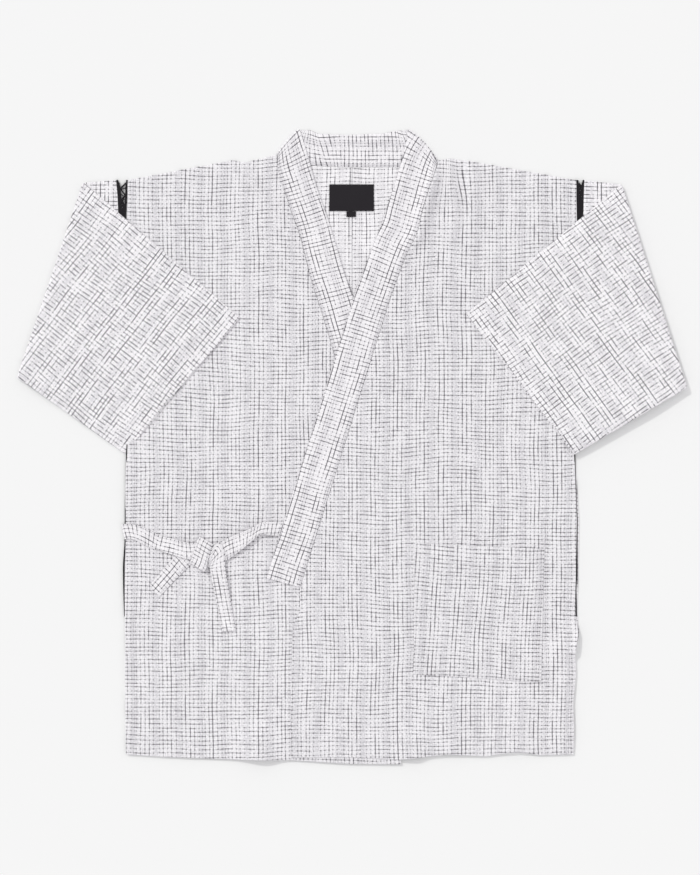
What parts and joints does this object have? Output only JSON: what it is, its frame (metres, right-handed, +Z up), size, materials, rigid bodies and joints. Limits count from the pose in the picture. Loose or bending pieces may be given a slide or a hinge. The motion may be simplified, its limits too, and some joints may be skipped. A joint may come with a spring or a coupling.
{
  "type": "jinbei jacket",
  "caption": "Wrap-front jinbei jacket of slubbed white cotton, laid flat with its sleeves folded over the front and its side ties knotted",
  "frame": {"origin": "middle of the jacket's bounding box, on the surface that it lies on", "axes": "+X to the wearer's left, +Y towards the collar, +Z up from the surface"},
  "size_m": [0.8432, 0.8, 0.0101],
  "materials": {
    "cotton": "matt slub-woven cotton",
    "lace": "black ladder lace and tape",
    "label": "black woven label"
  },
  "bodies": {
    "root": {"back_right": "cotton", "back_left": "cotton", "front_right": "cotton", "front_left": "cotton", "sleeve_right": "cotton", "sleeve_left": "cotton", "lace_right": "lace", "lace_left": "lace", "side_lace_right": "lace", "side_lace_left": "lace", "collar": "cotton", "pocket": "cotton", "tie_side": "cotton", "tie_front": "cotton", "neck_label": "label", "size_label": "label"}
  },
  "joints": []
}
